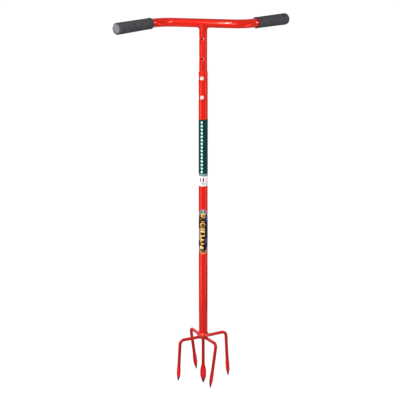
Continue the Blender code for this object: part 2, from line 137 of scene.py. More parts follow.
SHAFT_OUTER = 0.0125
SHAFT_INNER = 0.0113
SHAFT_BOTTOM, SHAFT_TOP = (corner.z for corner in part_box("shaft_tube"))
LOWER_BOLT = 0.830
HOLE_PITCH = 0.052
CROSS_HOLE = 0.0033
HOLE_BAND = 0.0075
PAINTED_EDGE = 0.0004
EDGE_ROWS = 5
DISH_ROWS = 8
BAND_SIDE_ROWS = 6
INSIDE_SHARES = (1.0, 0.3, 0.08, 0.0)
OUTSIDE_SHARES = (0.03, 0.1, 0.25, 0.5, 1.0)
HALF_COLUMNS = 48
half_circle = np.linspace(-math.pi / 2, math.pi / 2, HALF_COLUMNS + 1)


def round_shaft(turn, radius, level):
    """Points round the shaft's axis, by the angle a from the front: (r sin a, -r cos a, z)."""
    return np.stack(np.broadcast_arrays(radius * np.sin(turn), -radius * np.cos(turn), level), -1)


def half_turned(sheet):
    """The same sheet turned half a circle about Z: x and y change sign."""
    return sheet * np.array([-1.0, -1.0, 1.0])


def tube_sheets(radii, heights):
    """Both halves of a turned surface from rows of radius and height.

    A row's height may be one number or one for each column.
    """
    rows = [round_shaft(half_circle, radius, height) for radius, height in zip(radii, heights)]
    return [np.stack(rows), half_turned(np.stack(rows))]


def drilled_band(outer, inner, middle, dish=0.0, dish_depth=0.0):
    """A band of tube wall with a hole through its front and back.

    Rows run from the band's edge on the inside, over the hole's wall and its rounded rim, to the
    band's edge on the outside. A row's point lies between the hole's rim at (h sin b, h cos b) and
    the band's edge in the same direction, both measured on the unrolled wall, which is then rolled
    up again: arc s becomes the angle s / r. A punched hole has a dish round it, whose depth falls
    off as the square of the way left to the dish's edge.
    """
    left, right = half_circle[0], half_circle[-1]
    side = np.ones(BAND_SIDE_ROWS - 1)
    across = np.ones(half_circle.size)
    up = np.linspace(-HOLE_BAND, HOLE_BAND, BAND_SIDE_ROWS + 1)
    edge_turn = np.concatenate([half_circle, side * right, half_circle[::-1], side * left, [left]])
    edge_up = np.concatenate(
        [across * -HOLE_BAND, up[1:-1], across * HOLE_BAND, up[-2:0:-1], [-HOLE_BAND]]
    )
    direction = np.arctan2(edge_up, edge_turn * outer)
    steps = [(share, inner, CROSS_HOLE) for share in INSIDE_SHARES]
    for curl in np.linspace(0.0, math.pi / 2, EDGE_ROWS):
        radius = outer - dish_depth - PAINTED_EDGE + PAINTED_EDGE * math.sin(curl)
        steps.append((0.0, radius, CROSS_HOLE + PAINTED_EDGE * (1 - math.cos(curl))))
    rim = CROSS_HOLE + PAINTED_EDGE
    if dish:
        for way in np.linspace(0.0, 1.0, DISH_ROWS + 1)[1:]:
            steps.append((0.0, outer - dish_depth * (1 - way) ** 2, rim + dish * way))
    steps += [(share, outer, rim + dish) for share in OUTSIDE_SHARES]
    rows = []
    for share, radius, hole in steps:
        turn = np.arcsin(hole * np.cos(direction) / radius) * (1 - share) + edge_turn * share
        level = middle + hole * np.sin(direction) * (1 - share) + edge_up * share
        rows.append(round_shaft(turn, radius, level))
    return [np.stack(rows), half_turned(np.stack(rows))]


def plain_walls(outer, inner, stops, hole_heights):
    """The outer and inner walls between the bands of holes, from the first stop to the last."""
    edges = [z for height in hole_heights for z in (height - HOLE_BAND, height + HOLE_BAND)]
    edges = [stops[0], *edges, *stops[1:]]
    sheets = []
    for low, high in zip(edges[::2], edges[1::2]):
        for radius in (outer, inner):
            sheets += tube_sheets([radius, radius], [low, high])
    return sheets


def rounded_end(outer, inner, end, inward, lip, rows):
    """The rim of a tube's end: a quarter circle of the lip's radius on each of its edges."""
    curl = np.linspace(0.0, math.pi / 2, rows)
    radii = [*(outer - lip + lip * np.cos(curl)), *(inner + lip - lip * np.sin(curl))]
    rise = [*(lip - lip * np.sin(curl)), *(lip - lip * np.cos(curl))]
    return tube_sheets(radii, [end + inward * step for step in rise])


def set_inputs(tree, node, inputs):
    """Give each input its value, or a link where that is another node's socket."""
    for socket, value in inputs.items():
        if isinstance(value, bpy.types.NodeSocket):
            tree.links.new(value, node.inputs[socket])
        else:
            node.inputs[socket].default_value = value


def put_node(tree, kind, inputs, **settings):
    """Add a shader node with its settings and inputs, and give its outputs."""
    node = tree.nodes.new(f"ShaderNode{kind}")
    for setting, value in settings.items():
        setattr(node, setting, value)
    set_inputs(tree, node, inputs)
    return node.outputs


def maths(tree, operation, *values, clamped=False):
    """One maths node on numbers or sockets."""
    inputs = dict(enumerate(values))
    return put_node(tree, "Math", inputs, operation=operation, use_clamp=clamped)["Value"]


def vector_maths(tree, operation, *values):
    """One maths node on places or directions, and its outputs."""
    return put_node(tree, "VectorMath", dict(enumerate(values)), operation=operation)


def object_place(tree):
    """The place on the piece, in metres, as Object coordinates."""
    return put_node(tree, "TexCoord", {})["Object"]


def shader_group(name, inputs, work):
    """A shader group: inputs with their defaults, and outputs as a function works them out."""
    tree = bpy.data.node_groups.new(name, "ShaderNodeTree")
    for socket, value in inputs.items():
        kind = "NodeSocketFloat" if isinstance(value, float) else "NodeSocketVector"
        made = tree.interface.new_socket(socket, in_out="INPUT", socket_type=kind)
        made.default_value = value
    results = work(tree, tree.nodes.new("NodeGroupInput").outputs)
    for socket, result in results.items():
        kind = "NodeSocketVector" if result.type == "VECTOR" else "NodeSocketFloat"
        tree.interface.new_socket(socket, in_out="OUTPUT", socket_type=kind)
    set_inputs(tree, tree.nodes.new("NodeGroupOutput"), results)
    return tree


def surface_grain(tree, given):
    """Fine relief and a soft mottle, both from noise on Object coordinates.

    Normal is a bump of fractal noise at Scale, as deep as Depth. Mottle is a slow noise at Patches.
    """
    place = object_place(tree)
    fine = put_node(tree, "TexNoise", {"Vector": place, "Scale": given["Scale"], "Detail": 3.0})
    slow = put_node(tree, "TexNoise", {"Vector": place, "Scale": given["Patches"], "Detail": 4.0})
    bump = put_node(tree, "Bump", {"Height": fine["Fac"], "Distance": given["Depth"]})
    return {"Normal": bump["Normal"], "Mottle": slow["Fac"]}


GRAIN_SIZES = {"Scale": 400.0, "Depth": 2e-5, "Patches": 20.0}
GRAIN = shader_group("surface grain", GRAIN_SIZES, surface_grain)
MOTTLE_SPAN = (0.35, 0.65)


def plain_finish(name, colours, grain, gloss, roughness=None):
    """A Principled material whose colour drifts with the mottle, and its roughness if it has two.

    Grain holds the grain group's scale, depth and patches, and gloss the shader's plain inputs.
    """
    material = bpy.data.materials.new(name)
    material.use_nodes = True
    tree = material.node_tree
    surface = put_node(tree, "Group", dict(zip(GRAIN_SIZES, grain)), node_tree=GRAIN)
    tint = put_node(tree, "ValToRGB", {"Fac": surface["Mottle"]})
    stops = tint["Color"].node.color_ramp.elements
    for element, share, colour in zip(stops, MOTTLE_SPAN, colours):
        element.position, element.color = share, (*colour, 1.0)
    linked = {"Base Color": tint["Color"], "Normal": surface["Normal"]}
    if roughness:
        ranges = zip(("From Min", "From Max", "To Min", "To Max"), MOTTLE_SPAN + roughness)
        drift = {"Value": surface["Mottle"], **dict(ranges)}
        linked["Roughness"] = put_node(tree, "MapRange", drift)["Result"]
    set_inputs(tree, shader_of(material), {**gloss, **linked})
    return material


def shader_of(material):
    """The Principled shader of a material."""
    return material.node_tree.nodes["Principled BSDF"]


def finish_copy(material, name):
    """The same finish under another name, to be changed for one piece."""
    copy = material.copy()
    copy.name = name
    return copy


def lay_over(material, mask, colour, blend="MIX"):
    """Let a colour take the place of the finish's own, or tint it, where the mask is 1."""
    tree, base = material.node_tree, shader_of(material).inputs["Base Color"]
    inputs = {"Factor": mask, "A": base.links[0].from_socket, "B": (*colour, 1.0)}
    mix = put_node(tree, "Mix", inputs, data_type="RGBA", blend_type=blend)
    tree.links.new(mix["Result"], base)


RED_DEEP = (0.61, 0.011, 0.003)
RED_FULL = (0.68, 0.015, 0.005)
RED_GLOSS = {
    "Metallic": 0.35,
    "Specular IOR Level": 0.10,
    "Specular Tint": (0.9, 0.35, 0.35, 1.0),
    "Coat Weight": 0.2,
    "Coat Roughness": 0.05,
}
THIN_BORE_COAT_AND_SHADE = (0.16, 0.004, 0.002)
BORE_MARGIN = 0.0002
red_coat = plain_finish(
    "red powder coat", (RED_DEEP, RED_FULL), (420.0, 1e-5, 14.0), RED_GLOSS, (0.10, 0.14)
)

# Inside the bore's radius from the axis the colour turns dark red: thin coat plus painted shade.
shaft_coat = finish_copy(red_coat, "coated shaft tube")
tree = shaft_coat.node_tree
level_place = vector_maths(tree, "MULTIPLY", object_place(tree), (1.0, 1.0, 0.0))["Vector"]
off_axis = vector_maths(tree, "LENGTH", level_place)["Value"]
lay_over(shaft_coat, maths(tree, "LESS_THAN", off_axis, SHAFT_INNER + BORE_MARGIN), THIN_BORE_COAT_AND_SHADE)

bolt_heights = [LOWER_BOLT, LOWER_BOLT + HOLE_PITCH]
shaft_ends = [SHAFT_BOTTOM + PAINTED_EDGE, SHAFT_TOP - PAINTED_EDGE]
shaft_sheets = []
for height in bolt_heights:
    shaft_sheets += drilled_band(SHAFT_OUTER, SHAFT_INNER, height)
shaft_sheets += plain_walls(SHAFT_OUTER, SHAFT_INNER, shaft_ends, bolt_heights)
for end, inward in ((SHAFT_BOTTOM, 1.0), (SHAFT_TOP, -1.0)):
    shaft_sheets += rounded_end(SHAFT_OUTER, SHAFT_INNER, end, inward, PAINTED_EDGE, EDGE_ROWS)
make_piece("shaft", shaft_sheets, shaft_coat, "shaft_tube")


# Labels
# Three printed films, 0.1 mm thick, stuck on the shaft: a dark green one with a pale leaf vine,
# nearly all the way round, a white one just below, and a black and gold lozenge lower down.

LABEL_UNDER = SHAFT_OUTER + 0.00003
LABEL_FILM = 0.0001
LABEL_TURN = math.radians(11.7)
LABEL_POINTS = 61


def label_sheets(low, high, half_width, power):
    """A film bent round the shaft whose outline is a superellipse: |s/W|^n + |z/H|^n = 1.

    Rows run up by the sine of an even step. At row share v the half width is W (1 - |v|^n)^(1/n).
    """
    v = np.sin(np.linspace(-math.pi / 2, math.pi / 2, LABEL_POINTS))[:, None]
    half = half_width * (1 - np.abs(v) ** power) ** (1 / power)
    turn = LABEL_TURN + half * np.linspace(-1.0, 1.0, LABEL_POINTS) / SHAFT_OUTER
    level = (low + high) / 2 + (high - low) / 2 * v
    under, over = (round_shaft(turn, LABEL_UNDER + film, level) for film in (0.0, LABEL_FILM))
    rims = [np.stack([under[:, i], over[:, i]]) for i in (0, -1)]
    return [under, over, *rims]


def ink(red, green, blue):
    """A printer's colour of 0 to 255 as linear light: ((c + 0.055) / 1.055) ^ 2.4."""
    return tuple(((value / 255 + 0.055) / 1.055) ** 2.4 for value in (red, green, blue))


def tube_place(tree, given):
    """Place on the unrolled shaft, as arc to the right of the labels' middle and height.

    Object coordinates are turned about Z by Turn, and the arc is Radius times the angle from -Y.
    """
    turn = {"Vector": object_place(tree), "Angle": given["Turn"]}
    turned = put_node(tree, "VectorRotate", turn, rotation_type="Z_AXIS")
    axes = put_node(tree, "SeparateXYZ", {"Vector": turned["Vector"]})
    angle = maths(tree, "ARCTAN2", axes["X"], maths(tree, "MULTIPLY", axes["Y"], -1.0))
    arc = maths(tree, "MULTIPLY", angle, given["Radius"])
    return {"Place": put_node(tree, "CombineXYZ", {"X": arc, "Y": axes["Z"]})["Vector"]}


def printed_patch(tree, given):
    """1 inside |x/W|^n + |y/H|^n = 1 round Middle and 0 outside, with a soft edge."""
    away = vector_maths(tree, "SUBTRACT", given["Place"], given["Middle"])["Vector"]
    away = vector_maths(tree, "ABSOLUTE", away)["Vector"]
    axes = put_node(tree, "SeparateXYZ", {"Vector": away})
    shares = [
        maths(tree, "DIVIDE", axes["X"], given["Half Width"]),
        maths(tree, "DIVIDE", axes["Y"], given["Half Height"]),
    ]
    total = maths(tree, "ADD", *(maths(tree, "POWER", share, given["Power"]) for share in shares))
    edge = {
        "Value": maths(tree, "POWER", total, maths(tree, "DIVIDE", 1.0, given["Power"])),
        "From Min": maths(tree, "SUBTRACT", 1.0, given["Softness"]),
        "From Max": 1.0,
        "To Min": 1.0,
        "To Max": 0.0,
    }
    return {"Mask": put_node(tree, "MapRange", edge)["Result"]}


TUBE = {"Turn": -LABEL_TURN, "Radius": SHAFT_OUTER}
NO_PLACE = (0.0, 0.0, 0.0)
PATCH_SIZES = {"Half Width": 0.01, "Half Height": 0.01, "Power": 2.0}
PATCH = {"Place": NO_PLACE, "Middle": NO_PLACE, **PATCH_SIZES, "Softness": 0.1}
TUBE_PLACE = shader_group("place on the tube", TUBE, tube_place)
PRINTED_PATCH = shader_group("printed patch", PATCH, printed_patch)

VINE_MIDDLE = -0.0040
VINE_STEM = 0.0004
LEAF_PITCH = 0.0098
LEAF_SLOPE = 0.7
LEAF_REACH = 0.0030
LEAF_FATNESS = 0.0031
VINE_SHARPNESS = 6000.0


def leaf_vine(tree, place):
    """A climbing vine, 1 on its leaves and stem and 0 between them.

    With d the distance from the stem, a leaf's middle line lies where (y - slope d) / pitch is half
    past a whole number, and the leaf is fatness 4 t (1 - t) thick there, t being d / reach.
    """
    axes = put_node(tree, "SeparateXYZ", {"Vector": place})
    aside = maths(tree, "ABSOLUTE", maths(tree, "SUBTRACT", axes["X"], VINE_MIDDLE))
    climbed = maths(tree, "SUBTRACT", axes["Y"], maths(tree, "MULTIPLY", aside, LEAF_SLOPE))
    cycle = maths(tree, "FRACT", maths(tree, "DIVIDE", climbed, LEAF_PITCH))
    off_middle = maths(tree, "ABSOLUTE", maths(tree, "SUBTRACT", cycle, 0.5))
    off_middle = maths(tree, "MULTIPLY", off_middle, LEAF_PITCH)
    along = maths(tree, "DIVIDE", aside, LEAF_REACH, clamped=True)
    thick = maths(tree, "MULTIPLY", along, maths(tree, "SUBTRACT", 1.0, along))
    thick = maths(tree, "MULTIPLY", thick, 4.0 * LEAF_FATNESS)
    masks = []
    for reach, away in ((thick, off_middle), (VINE_STEM, aside)):
        inside = maths(tree, "SUBTRACT", reach, away)
        masks.append(maths(tree, "MULTIPLY", inside, VINE_SHARPNESS, clamped=True))
    return maths(tree, "MAXIMUM", *masks)


MILLIMETRE = 0.001
FILM_GRAIN = (900.0, 4e-6, 60.0)
FILM_GLOSS = {"Roughness": 0.35, "Specular IOR Level": 0.04}
FILM_SHADES = (0.85, 1.12)
VINE_INK = ink(216, 250, 255)


def make_label(name, low, high, half_width, power, ground, patches, with_vine=False):
    """A satin film of one ground colour, with a vine and then patches printed over it, ink but for
    one band of painted shade.

    A patch is the arc and rise of its middle from the label's middle and its half width and half
    height, all in millimetres, then a power and an ink.
    """
    grounds = [tuple(min(value * shade, 1.0) for value in ground) for shade in FILM_SHADES]
    film = plain_finish(f"{name} film", grounds, FILM_GRAIN, FILM_GLOSS)
    tree = film.node_tree
    place = put_node(tree, "Group", {}, node_tree=TUBE_PLACE)["Place"]
    if with_vine:
        lay_over(film, leaf_vine(tree, place), VINE_INK)
    for arc, rise, wide, tall, patch_power, colour in patches:
        middle = (arc * MILLIMETRE, (low + high) / 2 + rise * MILLIMETRE, 0.0)
        sizes = (wide * MILLIMETRE, tall * MILLIMETRE, patch_power)
        inputs = {"Place": place, "Middle": middle, **dict(zip(PATCH_SIZES, sizes))}
        patch = put_node(tree, "Group", inputs, node_tree=PRINTED_PATCH)
        lay_over(film, patch["Mask"], colour)
    make_piece(name, label_sheets(low, high, half_width, power), film)


make_label(
    "green_label",
    low=0.6113,
    high=0.7690,
    half_width=0.0355,
    power=40.0,
    ground=ink(10, 60, 54),
    patches=[
        (0.0, 78.85, 50.0, 3.2, 8.0, ink(44, 50, 36)),
        (0.0, -78.85, 50.0, 6.8, 8.0, ink(128, 150, 158)),
        # Painted shade: a dark grey band down the label's right-hand side, by the shaft's right
        # edge.
        (16.5, 0.0, 5.5, 70.0, 8.0, ink(48, 42, 46)),
    ],
    with_vine=True,
)
make_label(
    "white_label",
    low=0.5830,
    high=0.6108,
    half_width=0.0218,
    power=24.0,
    ground=ink(248, 250, 252),
    patches=[
        (-7.6, 3.8, 1.8, 5.8, 8.0, ink(40, 50, 54)),
        (0.4, 3.8, 2.6, 6.0, 5.0, ink(196, 60, 116)),
        (-1.6, -6.2, 6.2, 3.6, 4.0, ink(178, 208, 190)),
        (10.0, 1.0, 3.6, 8.0, 5.0, ink(240, 212, 222)),
    ],
)

GOLD, BRIGHT_GOLD, BROWN_GOLD = ink(206, 162, 84), ink(255, 208, 134), ink(176, 126, 56)
OLIVE, OLIVE_GOLD, OUTLINE_GOLD = ink(92, 100, 40), ink(204, 196, 124), ink(214, 138, 88)
BLACK_GROUND, DEEP_NAVY = ink(40, 16, 4), ink(34, 30, 62)
BLUE, VIOLET, LAVENDER = ink(64, 96, 190), ink(92, 84, 158), ink(158, 154, 188)
TEAL, DARK_TEAL = ink(160, 204, 210), ink(44, 66, 76)
make_label(
    "lozenge_label",
    low=0.3880,
    high=0.5172,
    half_width=0.0228,
    power=2.1,
    ground=ink(172, 152, 174),
    patches=[
        (0.0, -62.6, 13.0, 11.0, 2.0, OUTLINE_GOLD),
        (0.0, 0.0, 20.5, 61.6, 2.1, DEEP_NAVY),
        (-15.0, -8.1, 4.6, 19.0, 3.0, LAVENDER),
        (13.0, 37.4, 5.0, 8.5, 2.0, BLUE),
        (9.0, -26.1, 4.6, 8.0, 2.0, VIOLET),
        (-2.0, 0.4, 9.6, 58.0, 2.6, BLACK_GROUND),
        (-0.3, 57.4, 7.5, 4.6, 2.0, DARK_TEAL),
        (-0.3, 58.2, 3.6, 2.8, 2.0, TEAL),
        (0.0, 51.4, 8.0, 3.0, 3.0, OLIVE_GOLD),
        (0.2, 43.9, 6.6, 5.6, 3.0, BROWN_GOLD),
        (-4.8, 46.2, 2.2, 2.6, 2.0, BRIGHT_GOLD),
        (-8.0, 35.1, 1.8, 1.4, 2.0, GOLD),
        (-0.8, 29.6, 5.2, 1.7, 4.0, GOLD),
        (-2.0, 20.6, 7.8, 5.8, 3.0, GOLD),
        (-0.8, 19.4, 4.0, 3.8, 2.0, BLACK_GROUND),
        (-2.4, 7.2, 7.4, 5.6, 4.0, GOLD),
        (-2.2, 0.4, 7.6, 2.0, 4.0, BRIGHT_GOLD),
        (-8.0, -16.6, 1.6, 14.0, 4.0, GOLD),
        (-2.0, -11.2, 7.4, 2.0, 4.0, BRIGHT_GOLD),
        (3.2, -5.4, 1.2, 5.0, 4.0, BROWN_GOLD),
        (-5.0, -16.9, 1.2, 2.0, 2.0, BRIGHT_GOLD),
        (-2.8, -22.7, 6.0, 2.1, 3.0, BRIGHT_GOLD),
        (-6.0, -28.5, 3.6, 2.0, 2.0, GOLD),
        (-2.4, -34.3, 5.0, 2.1, 3.0, BRIGHT_GOLD),
        (-6.0, -44.6, 4.0, 5.0, 3.0, BRIGHT_GOLD),
        (-2.0, -45.2, 3.0, 2.6, 3.0, BRIGHT_GOLD),
        (-1.4, -52.1, 4.0, 3.2, 2.0, OLIVE),
    ],
)


# Stem
# The 22 mm inner tube that carries the handle. It slides in the shaft, and its four cross holes
# set the height: two take the bolts, and two stay open above. Its top is coped to the bar.

STEM_OUTER = 0.0110
STEM_INNER = 0.0095
STEM_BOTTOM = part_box("stem_tube")[0].z
STEM_LIP = 0.0003
STEM_LIP_ROWS = 4
HANDLE_HEIGHT = 1.028
BAR_RADIUS = 0.012
COPE_GAP = 0.0003
STEM_HOLES = 4
HOLE_DISH = 0.0022
HOLE_DISH_DEPTH = 0.0004


def cope_depth(radius, turns):
    """How far the bar's circle, with its gap, reaches below its axis at a radius and angle."""
    return np.sqrt((BAR_RADIUS + COPE_GAP) ** 2 - (radius * np.cos(turns)) ** 2)


stem_heights = [LOWER_BOLT + HOLE_PITCH * i for i in range(STEM_HOLES)]
cope_start = stem_heights[-1] + HOLE_BAND
stem_sheets = []
for height in stem_heights:
    punched = (HOLE_DISH, HOLE_DISH_DEPTH) if height > SHAFT_TOP else (0.0, 0.0)
    stem_sheets += drilled_band(STEM_OUTER, STEM_INNER, height, *punched)
stem_sheets += plain_walls(STEM_OUTER, STEM_INNER, [STEM_BOTTOM + STEM_LIP], stem_heights)
stem_sheets += rounded_end(STEM_OUTER, STEM_INNER, STEM_BOTTOM, 1.0, STEM_LIP, STEM_LIP_ROWS)
coped = [HANDLE_HEIGHT - cope_depth(radius, half_circle) for radius in (STEM_OUTER, STEM_INNER)]
stem_sheets += tube_sheets(
    [STEM_OUTER, STEM_OUTER, STEM_INNER, STEM_INNER], [cope_start, *coped, cope_start]
)
make_piece("stem", stem_sheets, red_coat, "stem_tube")


# Handle bar
# One 24 mm tube bent in a flat S on a roller bender, so that its bends are a little flattened.
# The open ends are hidden in the grips.

BAR_WALL = 0.0015
BAR_MIDDLE_HALF = 0.0795
BAR_BEND_RADIUS = 0.0625
BAR_BEND_ANGLE = math.radians(60.0)
BAR_BEND_END = BAR_MIDDLE_HALF + BAR_BEND_RADIUS * BAR_BEND_ANGLE
BAR_HALF_LENGTH = BAR_BEND_END + 0.1282
BAR_DROOP = math.radians(0.8)
BAR_FLATTENING = 0.025
BAR_SIDES = 64
BAR_STOPS = (BAR_MIDDLE_HALF, BAR_BEND_END, BAR_HALF_LENGTH)
BAR_STEPS = (6, 28, 9, 28, 6)


def bar_line(along):
    """Centre line of the S at signed distances from its middle, with its direction and its bend.

    Straight for the middle half, then an arc of the bend's radius, then straight again and falling
    by the droop. The left half is the right half turned half a circle.
    """
    side = np.where(along < 0, -1.0, 1.0)
    far = np.abs(along)
    bend = np.clip(far - BAR_MIDDLE_HALF, 0.0, BAR_BEND_RADIUS * BAR_BEND_ANGLE)
    turn = bend / BAR_BEND_RADIUS
    rest = np.clip(far - BAR_MIDDLE_HALF - bend, 0.0, None)
    droop = np.where(rest > 0, BAR_DROOP, 0.0)
    reach = rest * math.cos(BAR_DROOP)
    x = np.minimum(far, BAR_MIDDLE_HALF) + BAR_BEND_RADIUS * np.sin(turn)
    x = x + reach * math.cos(BAR_BEND_ANGLE)
    y = BAR_BEND_RADIUS * (1 - np.cos(turn)) + reach * math.sin(BAR_BEND_ANGLE)
    place = np.stack([side * x, side * y, HANDLE_HEIGHT - rest * math.sin(BAR_DROOP)], -1)
    level = np.cos(droop)
    ahead = np.stack([np.cos(turn) * level, np.sin(turn) * level, -side * np.sin(droop)], -1)
    bent = np.sin(math.pi * np.clip(turn / BAR_BEND_ANGLE, 0.0, 1.0))
    return place, ahead, bent


def unit(vectors):
    """Each vector over its own length."""
    return vectors / np.linalg.norm(vectors, axis=-1, keepdims=True)


def swept(place, ahead, radius_in_plane, radius_up, sides):
    """A tube along a level line: centre + r cos(a) sideways + r sin(a) up, for every angle a."""
    aside = unit(np.stack([-ahead[:, 1], ahead[:, 0], np.zeros(len(ahead))], -1))
    upward = np.cross(ahead, aside)
    angle = np.linspace(0.0, math.tau, sides + 1)
    offset = np.cos(angle)[None, :, None] * aside[:, None, :] * radius_in_plane[:, None, None]
    rise = np.sin(angle)[None, :, None] * upward[:, None, :] * radius_up[:, None, None]
    return place[:, None, :] + offset + rise


stops = [*(-stop for stop in BAR_STOPS[::-1]), *BAR_STOPS]
runs = zip(stops, stops[1:], BAR_STEPS)
along = [np.linspace(low, high, steps, endpoint=False) for low, high, steps in runs]
along = np.concatenate([*along, [BAR_HALF_LENGTH]])
place, ahead, bent = bar_line(along)
flattened = BAR_RADIUS * (1 - BAR_FLATTENING * bent)
outside, inside = (
    swept(place, ahead, flattened - wall, np.full(len(along), BAR_RADIUS - wall), BAR_SIDES)
    for wall in (0.0, BAR_WALL)
)
ends = [np.stack([outside[i], inside[i]]) for i in (0, -1)]
make_piece("handle_tube", [outside, inside, *ends], red_coat, "handle_bar")


# Handle weld
# A bead of weld metal along the saddle between stem and bar, laid in small overlapping puddles
# and painted over, so that it looks soft and slightly rippled.

HANDLE_BEAD = 0.0034
HANDLE_PUDDLES = 34
HANDLE_PUDDLE_COLUMNS = 8
HANDLE_FAN_ROWS = 13
PUDDLE_REACH = (0.93, 0.07)
BEAD_HOLLOW = 0.22
WELD_CREASE = 60.0


def handle_bead(turns, fan):
    """Points of the bead: a fan of directions swung from down the stem to out along the bar.

    The saddle point at angle a is (r sin a, -r cos a, cope height). The bead's reach there is its
    size, a little smaller between puddles and in the middle of the fan, which is hollow.
    """
    radius = STEM_OUTER + COPE_GAP
    saddle_depth = cope_depth(radius, turns)
    corner = round_shaft(turns, radius, HANDLE_HEIGHT - saddle_depth)
    outward = round_shaft(turns, 1.0, 0.0)
    ahead = unit(np.gradient(corner, axis=0))
    bar_angle = np.arctan2(-corner[:, 1], saddle_depth)
    bar_normal = np.stack([np.zeros_like(turns), -np.sin(bar_angle), -np.cos(bar_angle)], -1)
    along_bar = np.cross(ahead, bar_normal)
    along_bar *= np.sign(np.sum(along_bar * outward, axis=1, keepdims=True))
    down = np.tile([0.0, 0.0, -1.0], (len(turns), 1))
    opening = np.arccos(np.clip(np.sum(down * along_bar, axis=1), -1.0, 1.0))
    swing = (fan[:, None] * opening)[:, :, None]
    opening = opening[None, :, None]
    direction = (np.sin(opening - swing) * down + np.sin(swing) * along_bar) / np.sin(opening)
    puddle = 0.5 + 0.5 * np.cos(turns * HANDLE_PUDDLES)
    middle = np.sin(math.pi * fan)[:, None]
    reach = HANDLE_BEAD * (PUDDLE_REACH[0] + PUDDLE_REACH[1] * puddle * middle)
    reach *= 1.0 - BEAD_HOLLOW * middle
    return corner + direction * reach[:, :, None], corner


def make_bead(name, bead, root, material, node):
    """A bead closed to its root line on both sides."""
    sheets = [bead, np.stack([bead[-1], root]), np.stack([root, bead[0]])]
    make_piece(name, sheets, material, node, crease=WELD_CREASE)


turns = np.linspace(0.0, math.tau, HANDLE_PUDDLES * HANDLE_PUDDLE_COLUMNS + 1)
bead, bead_root = handle_bead(turns, np.linspace(0.0, 1.0, HANDLE_FAN_ROWS))
make_bead("stem_bead", bead, bead_root, red_coat, "handle_weld")


# Grips
# Soft foam-rubber sleeves with a moulded closed end, pushed over the bar. The open end has a thin
# raised lip, and the skin is matt with fine pores, but smooth on the closed end.

GRIP_START = 0.0045
GRIP_LENGTH = 0.129
GRIP_BORE = 0.0123
GRIP_MOUTH = 0.0138
GRIP_MOUTH_DEPTH = 0.003
GRIP_SLIM = 0.01482
GRIP_FULL = 0.01574
GRIP_WALL = 0.005
GRIP_ROUNDING = 0.0065
GRIP_LIP_WIDTH = 0.0042
GRIP_LIP_ROUND = 0.0012
GRIP_LIP_RISE = 0.0005
GRIP_FLAT_SHARE = 0.4
GRIP_LIP_ROWS = 13
GRIP_BODY_START = 0.05
GRIP_BODY_ROWS = 40
GRIP_END_ROWS = 12
GRIP_SIDES = 96
GRIP_DARK = (0.060, 0.057, 0.064)
GRIP_LIGHT = (0.085, 0.082, 0.090)
END_ROUGHNESS = 0.30
END_EDGE = 0.0012
END_SHARPNESS = 3000.0
grip_skin = plain_finish(
    "grip foam rubber",
    (GRIP_DARK, GRIP_LIGHT),
    (1500.0, 2.5e-4, 90.0),
    {"Specular IOR Level": 0.05, "Coat Roughness": END_ROUGHNESS},
    (0.72, 0.85),
)


def grip_outline():
    """Radius and distance along a grip, from its blind bore out of the mouth to the closed end.

    Mouth: a cone. Lip: a half round. Body: swells evenly from slim to full. End: a quarter round.
    """
    lip = np.linspace(-math.pi / 2, math.pi / 2, GRIP_LIP_ROWS)
    body = np.linspace(GRIP_BODY_START, 1.0, GRIP_BODY_ROWS)
    turn = np.linspace(0.0, math.pi / 2, GRIP_END_ROWS)[1:]
    lip_middle, edge_middle = GRIP_SLIM + GRIP_LIP_RISE - GRIP_LIP_ROUND, GRIP_FULL - GRIP_ROUNDING
    bore_end, body_end = GRIP_LENGTH - GRIP_WALL, GRIP_LENGTH - GRIP_ROUNDING
    swell, stretch = GRIP_FULL - GRIP_SLIM, body_end - GRIP_LIP_WIDTH
    runs = (
        ([0.0, GRIP_BORE], [bore_end, bore_end]),
        ([GRIP_BORE, GRIP_MOUTH], [GRIP_MOUTH_DEPTH, 0.0]),
        (lip_middle + GRIP_LIP_ROUND * np.cos(lip), GRIP_LIP_ROUND + GRIP_LIP_ROUND * np.sin(lip)),
        ([GRIP_SLIM], [GRIP_LIP_WIDTH]),
        (GRIP_SLIM + swell * body, GRIP_LIP_WIDTH + stretch * body),
        (edge_middle + GRIP_ROUNDING * np.cos(turn), body_end + GRIP_ROUNDING * np.sin(turn)),
        ([GRIP_FULL * GRIP_FLAT_SHARE, 0.0], [GRIP_LENGTH, GRIP_LENGTH]),
    )
    return (np.concatenate(values) for values in zip(*runs))


def make_grip(name, side, node):
    """A turned sleeve laid along the bar's straight end: along the bar, sideways and up."""
    radius, distance = grip_outline()
    start, ahead, _ = bar_line(np.array([BAR_BEND_END + GRIP_START]))
    line = start + ahead * distance[:, None]
    sleeve = swept(line, np.repeat(ahead, len(distance), 0), radius, radius, GRIP_SIDES)
    sleeve = half_turned(sleeve) if side < 0 else sleeve
    make_piece(name, [sleeve], grip_skin, node, slot="grip_rubber")


# The smooth ends lie where the level distance along the grips passes that of their rounded edges.
end_way = np.array([math.cos(BAR_BEND_ANGLE), math.sin(BAR_BEND_ANGLE), 0.0])
end_place = bar_line(np.array([BAR_BEND_END + GRIP_START + GRIP_LENGTH]))[0][0]
tree, skin = grip_skin.node_tree, shader_of(grip_skin)
along_grip = vector_maths(tree, "DOT_PRODUCT", object_place(tree), end_way)["Value"]
past_edge = maths(tree, "ABSOLUTE", along_grip)
past_edge = maths(tree, "SUBTRACT", past_edge, float(end_place @ end_way) - END_EDGE)
on_end = maths(tree, "MULTIPLY", past_edge, END_SHARPNESS, clamped=True)
pores = skin.inputs["Roughness"].links[0].from_socket
smooth = put_node(tree, "Mix", {"Factor": on_end, "A": pores, "B": END_ROUGHNESS})["Result"]
set_inputs(tree, skin, {"Coat Weight": on_end, "Roughness": smooth})
make_grip("grip_right", 1, "right_grip")
make_grip("grip_left", -1, "left_grip")
